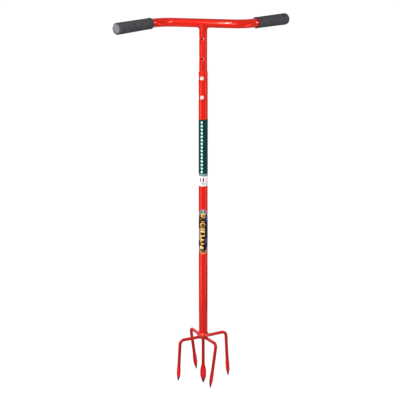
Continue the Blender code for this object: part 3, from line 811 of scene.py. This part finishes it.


# Bolts, spring washers and nuts
# M6 zinc-plated hexagon bolts from the front, each with a spring washer and a nut at the back.
# The shanks and washers have painted shade: their zinc colour is darker than the heads and nuts.

ZINC_DULL = (0.38, 0.34, 0.32)
ZINC_BRIGHT = (0.76, 0.69, 0.65)
SHANK_SHADE_TINT = (0.30, 0.28, 0.26)
SHANK_SHADE_EDGE = 0.0005
HEX_FLATS = 0.010
HEAD_HEIGHT = 0.004
NUT_HEIGHT = 0.005
HEX_CONE_SHARE = 0.97
HEX_CONE_ANGLE = math.radians(30)
DISH_STEPS = ((0.0, 0.0003), (0.33, 0.0003), (0.36, 0.00005))
BOLT_SEAT = 0.0128
BOLT_LENGTH = 0.040
BOLT_TIP = 0.0006
THREAD_RADIUS = 0.003
THREAD_PITCH = 0.001
THREAD_DEPTH = 0.00055
THREAD_LENGTH = 0.018
THREAD_STEEPNESS = 1.15
THREAD_CREST = 0.08
THREAD_ROWS_PER_PITCH = 8
BORE_RADIUS = 0.0033
MOUTH_RADIUS = BORE_RADIUS + 0.0001
MOUTH_DEPTH = 0.0004
WASHER_RADIUS = 0.0057
WASHER_THICKNESS = 0.0016
WASHER_EDGE = 0.0002
WASHER_COLUMNS = 73
WASHER_SPLIT = math.radians(11.0)
WASHER_SLANT = math.radians(8.0)
SEAT_GAP = 0.0003
BOLT_CREASE = 25.0
FULL_TURN = np.linspace(0.0, math.tau, 97)

zinc = plain_finish(
    "bright zinc", (ZINC_DULL, ZINC_BRIGHT), (2500.0, 1e-5, 260.0), {"Metallic": 1.0}, (0.24, 0.36)
)
# Painted shade: behind the head's seat the zinc colour is multiplied by a dark tint.
shaded_zinc = finish_copy(zinc, "shaded zinc")
tree = shaded_zinc.node_tree
depth = put_node(tree, "SeparateXYZ", {"Vector": object_place(tree)})["Y"]
behind_head = {"Value": depth, "From Min": -BOLT_SEAT, "From Max": -BOLT_SEAT + SHANK_SHADE_EDGE}
lay_over(shaded_zinc, put_node(tree, "MapRange", behind_head)["Result"], SHANK_SHADE_TINT, "MULTIPLY")


def ring(radius, level, angle=FULL_TURN):
    """A circle of points about the local axis: (r cos a, r sin a, z)."""
    return np.stack(np.broadcast_arrays(radius * np.cos(angle), radius * np.sin(angle), level), -1)


def hex_rows(height, both_ends):
    """Rows of a hexagon's side whose corners are cut by a cone at its top, or at both ends.

    The side's distance is half the flats over the cosine of the angle to the nearest flat. The cut
    is as deep as the side passes the cone's own radius, times the cone's slope.
    """
    side = HEX_FLATS / 2 / np.cos(FULL_TURN % (math.pi / 3) - math.pi / 6)
    cone = HEX_FLATS / 2 * HEX_CONE_SHARE
    cut = np.clip((side - cone) * math.tan(HEX_CONE_ANGLE), 0.0, None)
    rows = [ring(cone, height), ring(side, height - cut)]
    return rows + ([ring(side, cut), ring(cone, 0.0)] if both_ends else [ring(side, 0.0)])


def threaded(radius, depth, start, end):
    """A screw thread: the radius dips by a triangle wave of height less angle over a pitch."""
    rows = int((end - start) / THREAD_PITCH * THREAD_ROWS_PER_PITCH)
    level = np.linspace(start, end, rows)[:, None]
    phase = (level / THREAD_PITCH - FULL_TURN / math.tau) % 1.0
    dip = depth * np.clip(np.abs(phase * 2 - 1) * THREAD_STEEPNESS - THREAD_CREST, 0.0, 1.0)
    fade = np.clip(np.minimum(level - start, end - level) / THREAD_PITCH, 0.0, 1.0)
    return ring(radius - dip * fade, level)


def bolt_sheets():
    """Head with a shallow dished top, plain shank and a thread at its end."""
    head = hex_rows(HEAD_HEIGHT, False)
    dish = [ring(HEX_FLATS * share, HEAD_HEIGHT - depth) for share, depth in DISH_STEPS]
    start, end = BOLT_TIP - BOLT_LENGTH, THREAD_LENGTH - BOLT_LENGTH
    thread = threaded(THREAD_RADIUS, THREAD_DEPTH, start, end)
    under = [head[-1], ring(THREAD_RADIUS, 0.0), thread[-1]]
    tip = [thread[0], ring(THREAD_RADIUS - BOLT_TIP, -BOLT_LENGTH), ring(0.0, -BOLT_LENGTH)]
    return [np.stack([*dish, *head]), np.stack(under), thread, np.stack(tip)]


def nut_sheets():
    """Hexagon chamfered at both ends round a threaded bore."""
    half_depth = THREAD_DEPTH * 0.5
    bore = threaded(BORE_RADIUS - half_depth, -half_depth, MOUTH_DEPTH, NUT_HEIGHT - MOUTH_DEPTH)
    top, bottom = ring(MOUTH_RADIUS, NUT_HEIGHT), ring(MOUTH_RADIUS, 0.0)
    return [np.stack([bore[-1], top, *hex_rows(NUT_HEIGHT, True), bottom, bore[0]]), bore]


def washer_sheets():
    """A square-wire ring cut through on a slant: the cut's angle drifts with the thickness."""
    share = np.linspace(0.0, 1.0, WASHER_COLUMNS)[:, None]
    edge, full, top = WASHER_RADIUS - WASHER_EDGE, WASHER_RADIUS, WASHER_THICKNESS
    radius = np.array([BORE_RADIUS, edge, full, full, edge, BORE_RADIUS, BORE_RADIUS])
    level = np.array([0.0, 0.0, WASHER_EDGE, top - WASHER_EDGE, top, top, 0.0])
    slant = (level / WASHER_THICKNESS - 0.5) * WASHER_SLANT
    wire = ring(radius, level, WASHER_SPLIT / 2 + slant + (math.tau - WASHER_SPLIT) * share)
    middles = [np.repeat(end.mean(0, keepdims=True), len(end), 0) for end in (wire[0], wire[-1])]
    return [wire, *(np.stack(cap) for cap in zip((wire[0], wire[-1]), middles))]


NUT_SEAT = BOLT_SEAT + WASHER_THICKNESS + SEAT_GAP
FASTENERS = (
    ("hex_bolt", "bolt", "bolt", shaded_zinc, bolt_sheets(), BOLT_SEAT, -1),
    ("spring_ring", "washer", "nut", shaded_zinc, washer_sheets(), BOLT_SEAT, 1),
    ("hex_nut", "nut", "nut", zinc, nut_sheets(), NUT_SEAT, 1),
)
# Local +Z lies along -Y for outward -1 and along +Y for outward 1, at a seat and a height.
for end, height in zip(("lower", "upper"), bolt_heights):
    for piece, node, body, material, sheets, seat, outward in FASTENERS:
        placed = []
        for sheet in sheets:
            x, y, z = np.moveaxis(sheet, -1, 0)
            placed.append(np.stack([x, outward * (z + seat), height - outward * y], -1))
        rides_on, stands_for = f"{end}_{body}", f"{end}_{node}"
        name, slot = f"{end}_{piece}", "zinc_steel"
        make_piece(name, placed, material, stands_for, rides_on, slot, crease=BOLT_CREASE)


# Tines
# 9 mm steel rods, forged flat at the end to a spear blade with a soft ridge down each face. The
# four side tines are bent down at right angles and lean round the axis, so the claw screws in.

CLAW_HEIGHT = 0.141
ROD_RADIUS = 0.0045
ARM_RADIUS = 0.0738
ARM_RISE = 0.001
ARM_BEND_RADIUS = 0.012
ARM_DIRECTION = math.radians(40.8)
TINE_DROP = 0.129
TINE_SWEEP = 0.0177
TINE_TUCK = 0.0021
TINE_COLUMNS = 49
ARM_ROWS, BEND_ROWS, LEG_ROWS, CENTRE_ROWS = 14, 22, 111, 121
LEG_CROWDING = 0.9
SIDE_BLADE_HALF_WIDTH = 0.0078
SIDE_BLADE_TURN = math.radians(16.0)
CENTRE_BLADE_HALF_WIDTH = 0.0086
BLADE_HALF_THICKNESS = 0.0023
BLADE_LENGTH = 0.062
BLADE_SHOULDER = 0.026
BLADE_POINT = 0.021
BLADE_TIP = 0.0006
POINT_WIDTH_CURVE = 0.8
POINT_THICKNESS_CURVE = 0.6
RIDGE_CURVE = 0.6
CENTRE_TOP = 0.010
FORGING_DENTS = 0.00010
DENT_WAVES = {1.0: (310.0, 90.0, 170.0), 2.1: (-120.0, 280.0, 230.0), 3.7: (190.0, -240.0, 410.0)}
ROD_DENT_SHARE = 0.3
TIP_DENT_SHARE = 0.1
DENT_SEEDS = {"right": 0.4, "back": 1.7, "left": 3.0, "front": 4.3, "centre": 6.0}
TINE_CREASE = 50.0
# Painted light and shade on the claw: levels, curves and lengths, and the shaded and highlit reds.
ROD_LIGHT_LEVEL = 0.45
RIDGE_HIGHLIGHT_CURVE = 1.4
SHADED_POINT_LENGTH = 0.022
DARKEST_POINT_LENGTH = 0.003
SHADED_ROOT_LENGTH = 0.026
ROOT_START = 0.0078
ROOT_SHADE = 0.8
SHADED_RED = (0.10, 0.001, 0.005)
HIGHLIT_RED = (0.90, 0.010, 0.010)
CLAW_GLOSS = {"Coat Weight": 0.18, "Specular IOR Level": 0.05}
CLAW_PATCHES = 110.0
CLAW_MOTTLE = 0.12

# The colour runs from a dark red of painted shade to a bright red of painted highlight by the
# point attribute of painted light, made patchy by the mottle.
claw_coat = finish_copy(red_coat, "coated claw")
tree = claw_coat.node_tree
grain = next(node for node in tree.nodes if node.type == "GROUP")
grain.inputs["Patches"].default_value = CLAW_PATCHES
patches = {"Value": grain.outputs["Mottle"], "To Min": -CLAW_MOTTLE, "To Max": CLAW_MOTTLE}
patchy = put_node(tree, "MapRange", patches)["Result"]
painted_light = put_node(tree, "Attribute", {}, attribute_name="painted_light")["Fac"]
painted_light = maths(tree, "ADD", painted_light, patchy, clamped=True)
paints = {"Factor": painted_light, "A": (*SHADED_RED, 1.0), "B": (*HIGHLIT_RED, 1.0)}
paint = put_node(tree, "Mix", paints, data_type="RGBA")["Result"]
set_inputs(tree, shader_of(claw_coat), {**CLAW_GLOSS, "Base Color": paint})


def eased(value):
    """A smooth step from 0 to 1: 3 v squared less 2 v cubed."""
    value = np.clip(value, 0.0, 1.0)
    return value * value * (3.0 - 2.0 * value)


def dents(place, seed):
    """Slow waves that stand in for hammer marks: three sines of place with unlike directions."""
    waves = [np.sin(place @ np.array(way) + share * seed) for share, way in DENT_WAVES.items()]
    return sum(waves) / len(waves)


def tine_surface(line, across_hint, blade_half_width, seed):
    """A rod that turns into a blade: width and thickness at each distance above the tip.

    A section's point at angle a is width cos(a) across plus thickness d(a) through, where d is
    sin(a) on the rod and sin(a) |sin(a)| ^ 0.6 on the blade, which is a lens with a soft ridge.
    The colour carries painted light: even on the rod, a painted highlight |sin(a)| ^ 1.4 down the
    blade's ridge with painted shade towards its edges, and painted shade at the point and on the
    rod's underside next to the weld.
    """
    place, ahead, from_tip = line
    spread = 1.0 - eased((from_tip - (BLADE_LENGTH - BLADE_SHOULDER)) / BLADE_SHOULDER)
    width = ROD_RADIUS + (blade_half_width - ROD_RADIUS) * spread
    thickness = ROD_RADIUS + (BLADE_HALF_THICKNESS - ROD_RADIUS) * spread
    share = np.clip(from_tip / BLADE_POINT, 0.0, 1.0)
    width = BLADE_TIP + (width - BLADE_TIP) * share**POINT_WIDTH_CURVE
    thickness = BLADE_TIP + (thickness - BLADE_TIP) * share**POINT_THICKNESS_CURVE
    across = unit(across_hint - ahead * (ahead @ across_hint)[:, None])
    through = np.cross(ahead, across)
    angle = np.linspace(0.0, math.tau, TINE_COLUMNS)
    rise = np.sin(angle)
    depth = rise + (rise * np.abs(rise) ** RIDGE_CURVE - rise) * spread[:, None]
    surface = place[:, None] + across[:, None] * (width[:, None] * np.cos(angle))[:, :, None]
    surface += through[:, None] * (thickness[:, None] * depth)[:, :, None]
    inward = FORGING_DENTS * (0.5 - 0.5 * dents(surface, seed))
    inward *= ROD_DENT_SHARE + (1 - ROD_DENT_SHARE) * spread[:, None]
    centre_way = place[:, None] - surface
    centre_way /= np.maximum(np.linalg.norm(centre_way, axis=2, keepdims=True), 1e-6)
    surface += centre_way * inward[:, :, None] * np.clip(share, TIP_DENT_SHARE, 1.0)[:, None, None]
    surface[:, -1] = surface[:, 0]
    caps = [np.stack([surface[i], np.repeat(place[i][None], angle.size, 0)]) for i in (0, -1)]
    # Painted highlight down the blade's ridge, painted shade towards its edges.
    painted_light = ROD_LIGHT_LEVEL + spread[:, None] * (np.abs(rise) ** RIDGE_HIGHLIGHT_CURVE - ROD_LIGHT_LEVEL)
    # Painted shade darkens the point.
    painted_light = painted_light * eased((from_tip - DARKEST_POINT_LENGTH) / SHADED_POINT_LENGTH)[:, None]
    # Painted shadow on the rod's underside next to the hub weld.
    near_root = 1.0 - eased((from_tip[0] - from_tip - ROOT_START) / SHADED_ROOT_LENGTH)
    painted_light = painted_light * (1.0 - ROOT_SHADE * near_root[:, None] * (0.5 - 0.5 * rise))
    return [surface, *caps], [painted_light, np.repeat(painted_light[:1], 2, 0), np.repeat(painted_light[-1:], 2, 0)]


def side_tine_line():
    """Centre line of a side tine whose arm runs along +X: arm, arc, then straight to the tip."""
    corner = np.array([ARM_RADIUS, 0.0, CLAW_HEIGHT + ARM_RISE])
    tip = corner + np.array([-TINE_TUCK, -TINE_SWEEP, -TINE_DROP])
    root = np.array([ROD_RADIUS + SEAT_GAP, 0.0, CLAW_HEIGHT])
    arm = unit(corner - np.array([0.0, 0.0, CLAW_HEIGHT]))
    down = unit(tip - corner)
    angle = math.acos(float(arm @ down))
    inward = np.cross(np.cross(arm, down) / math.sin(angle), arm)
    bend_start = corner - arm * ARM_BEND_RADIUS * math.tan(angle / 2)
    turn = np.linspace(0.0, angle, BEND_ROWS)[:, None]
    arc = bend_start + ARM_BEND_RADIUS * (np.sin(turn) * arm + (1 - np.cos(turn)) * inward)
    arc_way = np.cos(turn) * arm + np.sin(turn) * inward
    share = np.linspace(0.0, 1.0, ARM_ROWS, endpoint=False)[:, None]
    straight = root + (bend_start - root) * share
    share = np.linspace(0.0, 1.0, LEG_ROWS)[1:, None] ** LEG_CROWDING
    leg = arc[-1] + (tip - arc[-1]) * share
    place = np.concatenate([straight, arc, leg])
    way = [np.repeat(arm[None], len(straight), 0), arc_way, np.repeat(down[None], len(leg), 0)]
    steps = np.linalg.norm(np.diff(place, axis=0), axis=1)
    return place, np.concatenate(way), np.append(np.cumsum(steps[::-1])[::-1], 0.0)


def turned_about_axis(sheet, angle):
    """A sheet turned about Z by an angle."""
    c, s = math.cos(angle), math.sin(angle)
    return sheet @ np.array([[c, s, 0.0], [-s, c, 0.0], [0.0, 0.0, 1.0]])


def make_tine(side, line, across, half_width, turn=0.0):
    """One tine along a line of places, directions and distances from the tip, then turned."""
    sheets, painted_lights = tine_surface(line, across, half_width, DENT_SEEDS[side])
    sheets = [turned_about_axis(sheet, turn) for sheet in sheets]
    looks = {"crease": TINE_CREASE, "painted_lights": painted_lights}
    make_piece(f"tine_{side}", sheets, claw_coat, f"{side}_tine", **looks)


blade_way = np.array([-math.sin(SIDE_BLADE_TURN), math.cos(SIDE_BLADE_TURN), 0.0])
for quarter, side in enumerate(("right", "back", "left", "front")):
    turn = ARM_DIRECTION + quarter * math.pi / 2
    make_tine(side, side_tine_line(), blade_way, SIDE_BLADE_HALF_WIDTH, turn)

from_tip = (CLAW_HEIGHT + CENTRE_TOP) * np.linspace(1.0, 0.0, CENTRE_ROWS)
place = np.stack([0 * from_tip, 0 * from_tip, from_tip], -1)
way = np.tile([0.0, 0.0, -1.0], (len(from_tip), 1))
line, blade_way = (place, way, from_tip), np.array([1.0, 0.0, 0.0])
make_tine("centre", line, blade_way, CENTRE_BLADE_HALF_WIDTH)


# Hub weld and centre weld
# The claw is built up with weld metal: a wide fillet of stacked puddles from the shaft's end out
# over the arms, and a smaller bead under the arms round the centre tine.

WELD_DEEP = (0.34, 0.008, 0.004)
WELD_FULL = (0.66, 0.026, 0.020)
WELD_GLOSS = {**RED_GLOSS, "Specular IOR Level": 0.3, "Coat Weight": 0.25, "Coat Roughness": 0.10}
weld_coat = plain_finish(
    "coated weld metal", (WELD_DEEP, WELD_FULL), (420.0, 2e-5, 160.0), WELD_GLOSS, (0.12, 0.20)
)

HUB_TOE = 0.0129
HUB_RADIUS = 0.0191
HUB_TOP = CLAW_HEIGHT + 0.0140
HUB_EDGE = CLAW_HEIGHT + ROD_RADIUS + 0.0010
HUB_SKIRT = CLAW_HEIGHT + ROD_RADIUS - 0.0039
HUB_PUDDLES = 26
HUB_PUDDLE_COLUMNS = 12
HUB_PUDDLE_LEAN = 2.2
HUB_HOLLOW = 0.0010
HUB_PUDDLE_DEPTH = 0.00045
HUB_WANDER = 0.0005
HUB_EDGE_WANDER = 0.0004
HUB_WAVES = ((0.3, 3, 0.7), (0.2, 5, 2.0))
HUB_ROWS = 22
HUB_UNDERSIDE = (
    (HUB_RADIUS - 0.0012, HUB_EDGE - 0.0016),
    (HUB_TOE + 0.0019, HUB_SKIRT),
    (HUB_TOE, HUB_SKIRT),
)

# The fillet falls from toe to edge in a slight hollow, less the puddles' ripple and a slow wander.
angle = np.linspace(0.0, math.tau, HUB_PUDDLES * HUB_PUDDLE_COLUMNS + 1)
share = np.linspace(0.0, 1.0, HUB_ROWS)[:, None]
middle = np.sin(math.pi * share)
puddle = 0.5 + 0.5 * np.cos(angle * HUB_PUDDLES + HUB_PUDDLE_LEAN * share * math.pi)
slow = 0.5 + sum(size * np.sin(angle * count + phase) for size, count, phase in HUB_WAVES)
slow[-1] = slow[0]
radius = HUB_TOE + (HUB_RADIUS - HUB_TOE) * share - HUB_EDGE_WANDER * slow * share
level = HUB_TOP + (HUB_EDGE - HUB_TOP) * share - HUB_HOLLOW * middle
level = level - HUB_PUDDLE_DEPTH * (1 - puddle) * middle - HUB_WANDER * slow * (1 - share)
top = ring(radius, level, angle)
under = np.stack([ring(radius, level, angle) for radius, level in HUB_UNDERSIDE])
hub_sheets = [top, np.stack([top[-1], under[0]]), under, np.stack([under[-1], top[0]])]
make_piece("claw_weld", hub_sheets, weld_coat, "hub_weld", crease=WELD_CREASE)

CENTRE_BEAD = 0.0031
CENTRE_PUDDLES = 14
CENTRE_PUDDLE_COLUMNS = 10
CENTRE_FAN_ROWS = 10
CENTRE_REACH = (0.9, 0.1)
root_radius, root_level = ROD_RADIUS + SEAT_GAP, CLAW_HEIGHT - ROD_RADIUS - SEAT_GAP
angle = np.linspace(0.0, math.tau, CENTRE_PUDDLES * CENTRE_PUDDLE_COLUMNS + 1)
fan = np.linspace(0.0, math.pi / 2, CENTRE_FAN_ROWS)[:, None]
puddle = np.cos(angle * CENTRE_PUDDLES) * np.sin(2 * fan)
reach = CENTRE_BEAD * (CENTRE_REACH[0] + CENTRE_REACH[1] * puddle)
bead = ring(root_radius + reach * np.cos(fan), root_level - reach * np.sin(fan), angle)
make_bead("centre_bead", bead, ring(root_radius, root_level, angle), weld_coat, "centre_weld")


# Floor, background and lamps
# A plain white sweep, strip lights at the sides, soft boxes in front, above and behind, two tube
# lamps for the sparkle, and black cards that darken the shaft's edges. The floor keeps the tool's
# soft shadow.

GLOW_NEAR = 0.90
GLOW_FAR = 1.0
GLOW_FAR_RADIUS = 2.6
AMBIENT = 0.09
FLOOR_HALF = 30.0
WHITE = (1.0, 1.0, 1.0, 1.0)


def stage_card(name, corners, **finish):
    """A flat stage piece from four corners, with a matt finish."""
    material = bpy.data.materials.new(name)
    material.use_nodes = True
    set_inputs(material.node_tree, shader_of(material), {"Specular IOR Level": 0.0, **finish})
    mesh = bpy.data.meshes.new(name)
    mesh.from_pydata(corners, [], [(0, 1, 2, 3)])
    mesh.materials.append(material)
    card = add_object(name, mesh)
    return card


def any_clear_ray(tree):
    """1 for camera, glossy and transmission rays and 0 for others: the greatest of the three."""
    rays = put_node(tree, "LightPath", {})
    value = rays["Is Camera Ray"]
    for kind in ("Is Glossy Ray", "Is Transmission Ray"):
        value = maths(tree, "MAXIMUM", value, rays[kind])
    return value


# The floor's own light grows with the distance from the tool, so that the shadow shows near it.
half = FLOOR_HALF
floor_corners = [(-half, -half, 0.0), (half, -half, 0.0), (half, half, 0.0), (-half, half, 0.0)]
floor_look = {"Base Color": (0.2, 0.2, 0.2, 1.0), "Roughness": 0.9, "Emission Color": WHITE}
paper = stage_card("floor", floor_corners, **floor_look).active_material
tree = paper.node_tree
distance = vector_maths(tree, "LENGTH", object_place(tree))["Value"]
spread = {"Value": distance, "From Max": GLOW_FAR_RADIUS, "To Min": GLOW_NEAR, "To Max": GLOW_FAR}
glow = put_node(tree, "MapRange", spread, interpolation_type="SMOOTHSTEP")["Result"]
glow = maths(tree, "MULTIPLY", any_clear_ray(tree), glow)
set_inputs(tree, shader_of(paper), {"Emission Strength": glow})

world = bpy.data.worlds.new("studio")
bpy.context.scene.world = world
world.use_nodes = True
tree = world.node_tree
tree.nodes.clear()
level = put_node(tree, "MapRange", {"Value": any_clear_ray(tree), "To Min": AMBIENT, "To Max": 1.0})
background = put_node(tree, "Background", {"Color": WHITE, "Strength": level["Result"]})
put_node(tree, "OutputWorld", {"Surface": background["Background"]})

# Each lamp: bearing from the camera's side to its right, distance, height, downward tilt, width,
# length and power.
LAMPS = {
    "left edge box": (-83.0, 1.3, 0.9, 0.0, 0.24, 1.3, 3.9),
    "left strip": (-59.0, 0.6, 0.8, 0.0, 0.20, 1.6, 2.9),
    "right strip": (60.0, 0.5, 0.48, 0.0, 0.13, 0.94, 0.95),
    "front soft box": (-10.0, 1.8, 1.2, 12.0, 0.8, 0.8, 13.5),
    "high soft box": (-10.0, 1.1, 2.6, 60.0, 1.2, 0.9, 3.5),
    "tube lamp": (-20.3, 1.57, 1.84, 32.0, 0.07, 0.7, 15.0),
    "right tube lamp": (91.5, 1.57, 1.28, 0.0, 0.14, 0.5, 9.5),
    "low left strip": (-59.0, 0.42, 0.11, 0.0, 0.14, 0.2, 0.2),
    "back box": (-140.0, 1.8, 1.25, 30.0, 1.0, 0.6, 16.0),
}
for name, (bearing, distance, height, tilt, width, tall, power) in LAMPS.items():
    data = bpy.data.lights.new(name, "AREA")
    data.shape = "RECTANGLE"
    data.size, data.size_y = width, tall
    data.energy = power
    lamp = add_object(name, data)
    turn = CAMERA_TURN + math.radians(bearing)
    lamp.location = beside_shaft(turn, distance, height)
    lamp.rotation_euler = (math.pi / 2 - math.radians(tilt), 0.0, turn)
    lamp.visible_camera = False

# Each black card, out of the camera's sight: bearing, distance, width, bottom and top.
CARD_BLACK = {"Base Color": (0.01, 0.01, 0.01, 1.0), "Roughness": 1.0}
CARDS = {
    "left card": (-116.0, 1.5, 1.2, 0.0, 0.58),
    "high left card": (-92.0, 0.46, 0.34, 0.79, 0.96),
    "low left card": (-116.0, 0.46, 0.38, 0.0, 0.24),
    "right card": (114.0, 0.46, 0.38, 0.0, 0.18),
}
for name, (bearing, distance, width, low, high) in CARDS.items():
    half = width / 2
    corners = [(-half, 0.0, low), (half, 0.0, low), (half, 0.0, high), (-half, 0.0, high)]
    card = stage_card(name, corners, **CARD_BLACK)
    turn = CAMERA_TURN + math.radians(bearing)
    card.location = beside_shaft(turn, distance, 0.0)
    card.rotation_euler = (0.0, 0.0, turn)
    card.visible_camera, card.visible_shadow = False, False

bpy.context.scene.view_settings.view_transform = "Standard"
